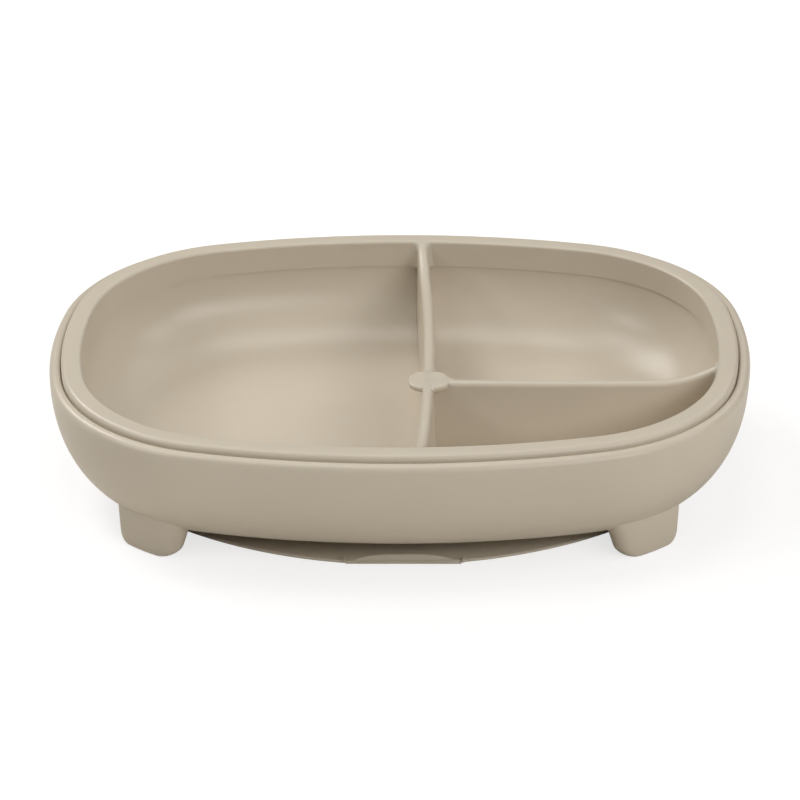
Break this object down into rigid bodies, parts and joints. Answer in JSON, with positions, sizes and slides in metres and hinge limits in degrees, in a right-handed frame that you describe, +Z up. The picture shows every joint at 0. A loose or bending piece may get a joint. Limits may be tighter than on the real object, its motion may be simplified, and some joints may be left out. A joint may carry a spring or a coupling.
{
  "type": "baby suction plate",
  "caption": "Deep oval divided plate for feeding a baby: bowl on four feet, drop-in divider with a grip disc, and an oval suction base with a pull tab.",
  "frame": {"origin": "middle of the footprint, on the table that the feet and the suction base stand on", "axes": "+X along the long side, towards the end that the side wall of the divider reaches; +Y away from the pull tab; +Z up, out of the bowl"},
  "size_m": [0.2202, 0.1614, 0.045],
  "materials": {
    "bowl_silicone": "satin moulded silicone, sand beige",
    "divider_silicone": "satin moulded silicone, sand beige",
    "base_silicone": "satin moulded silicone, sand beige"
  },
  "bodies": {
    "root": {"bowl_shell": "bowl_silicone", "divider_insert": "divider_silicone", "suction_base": "base_silicone"}
  },
  "joints": []
}
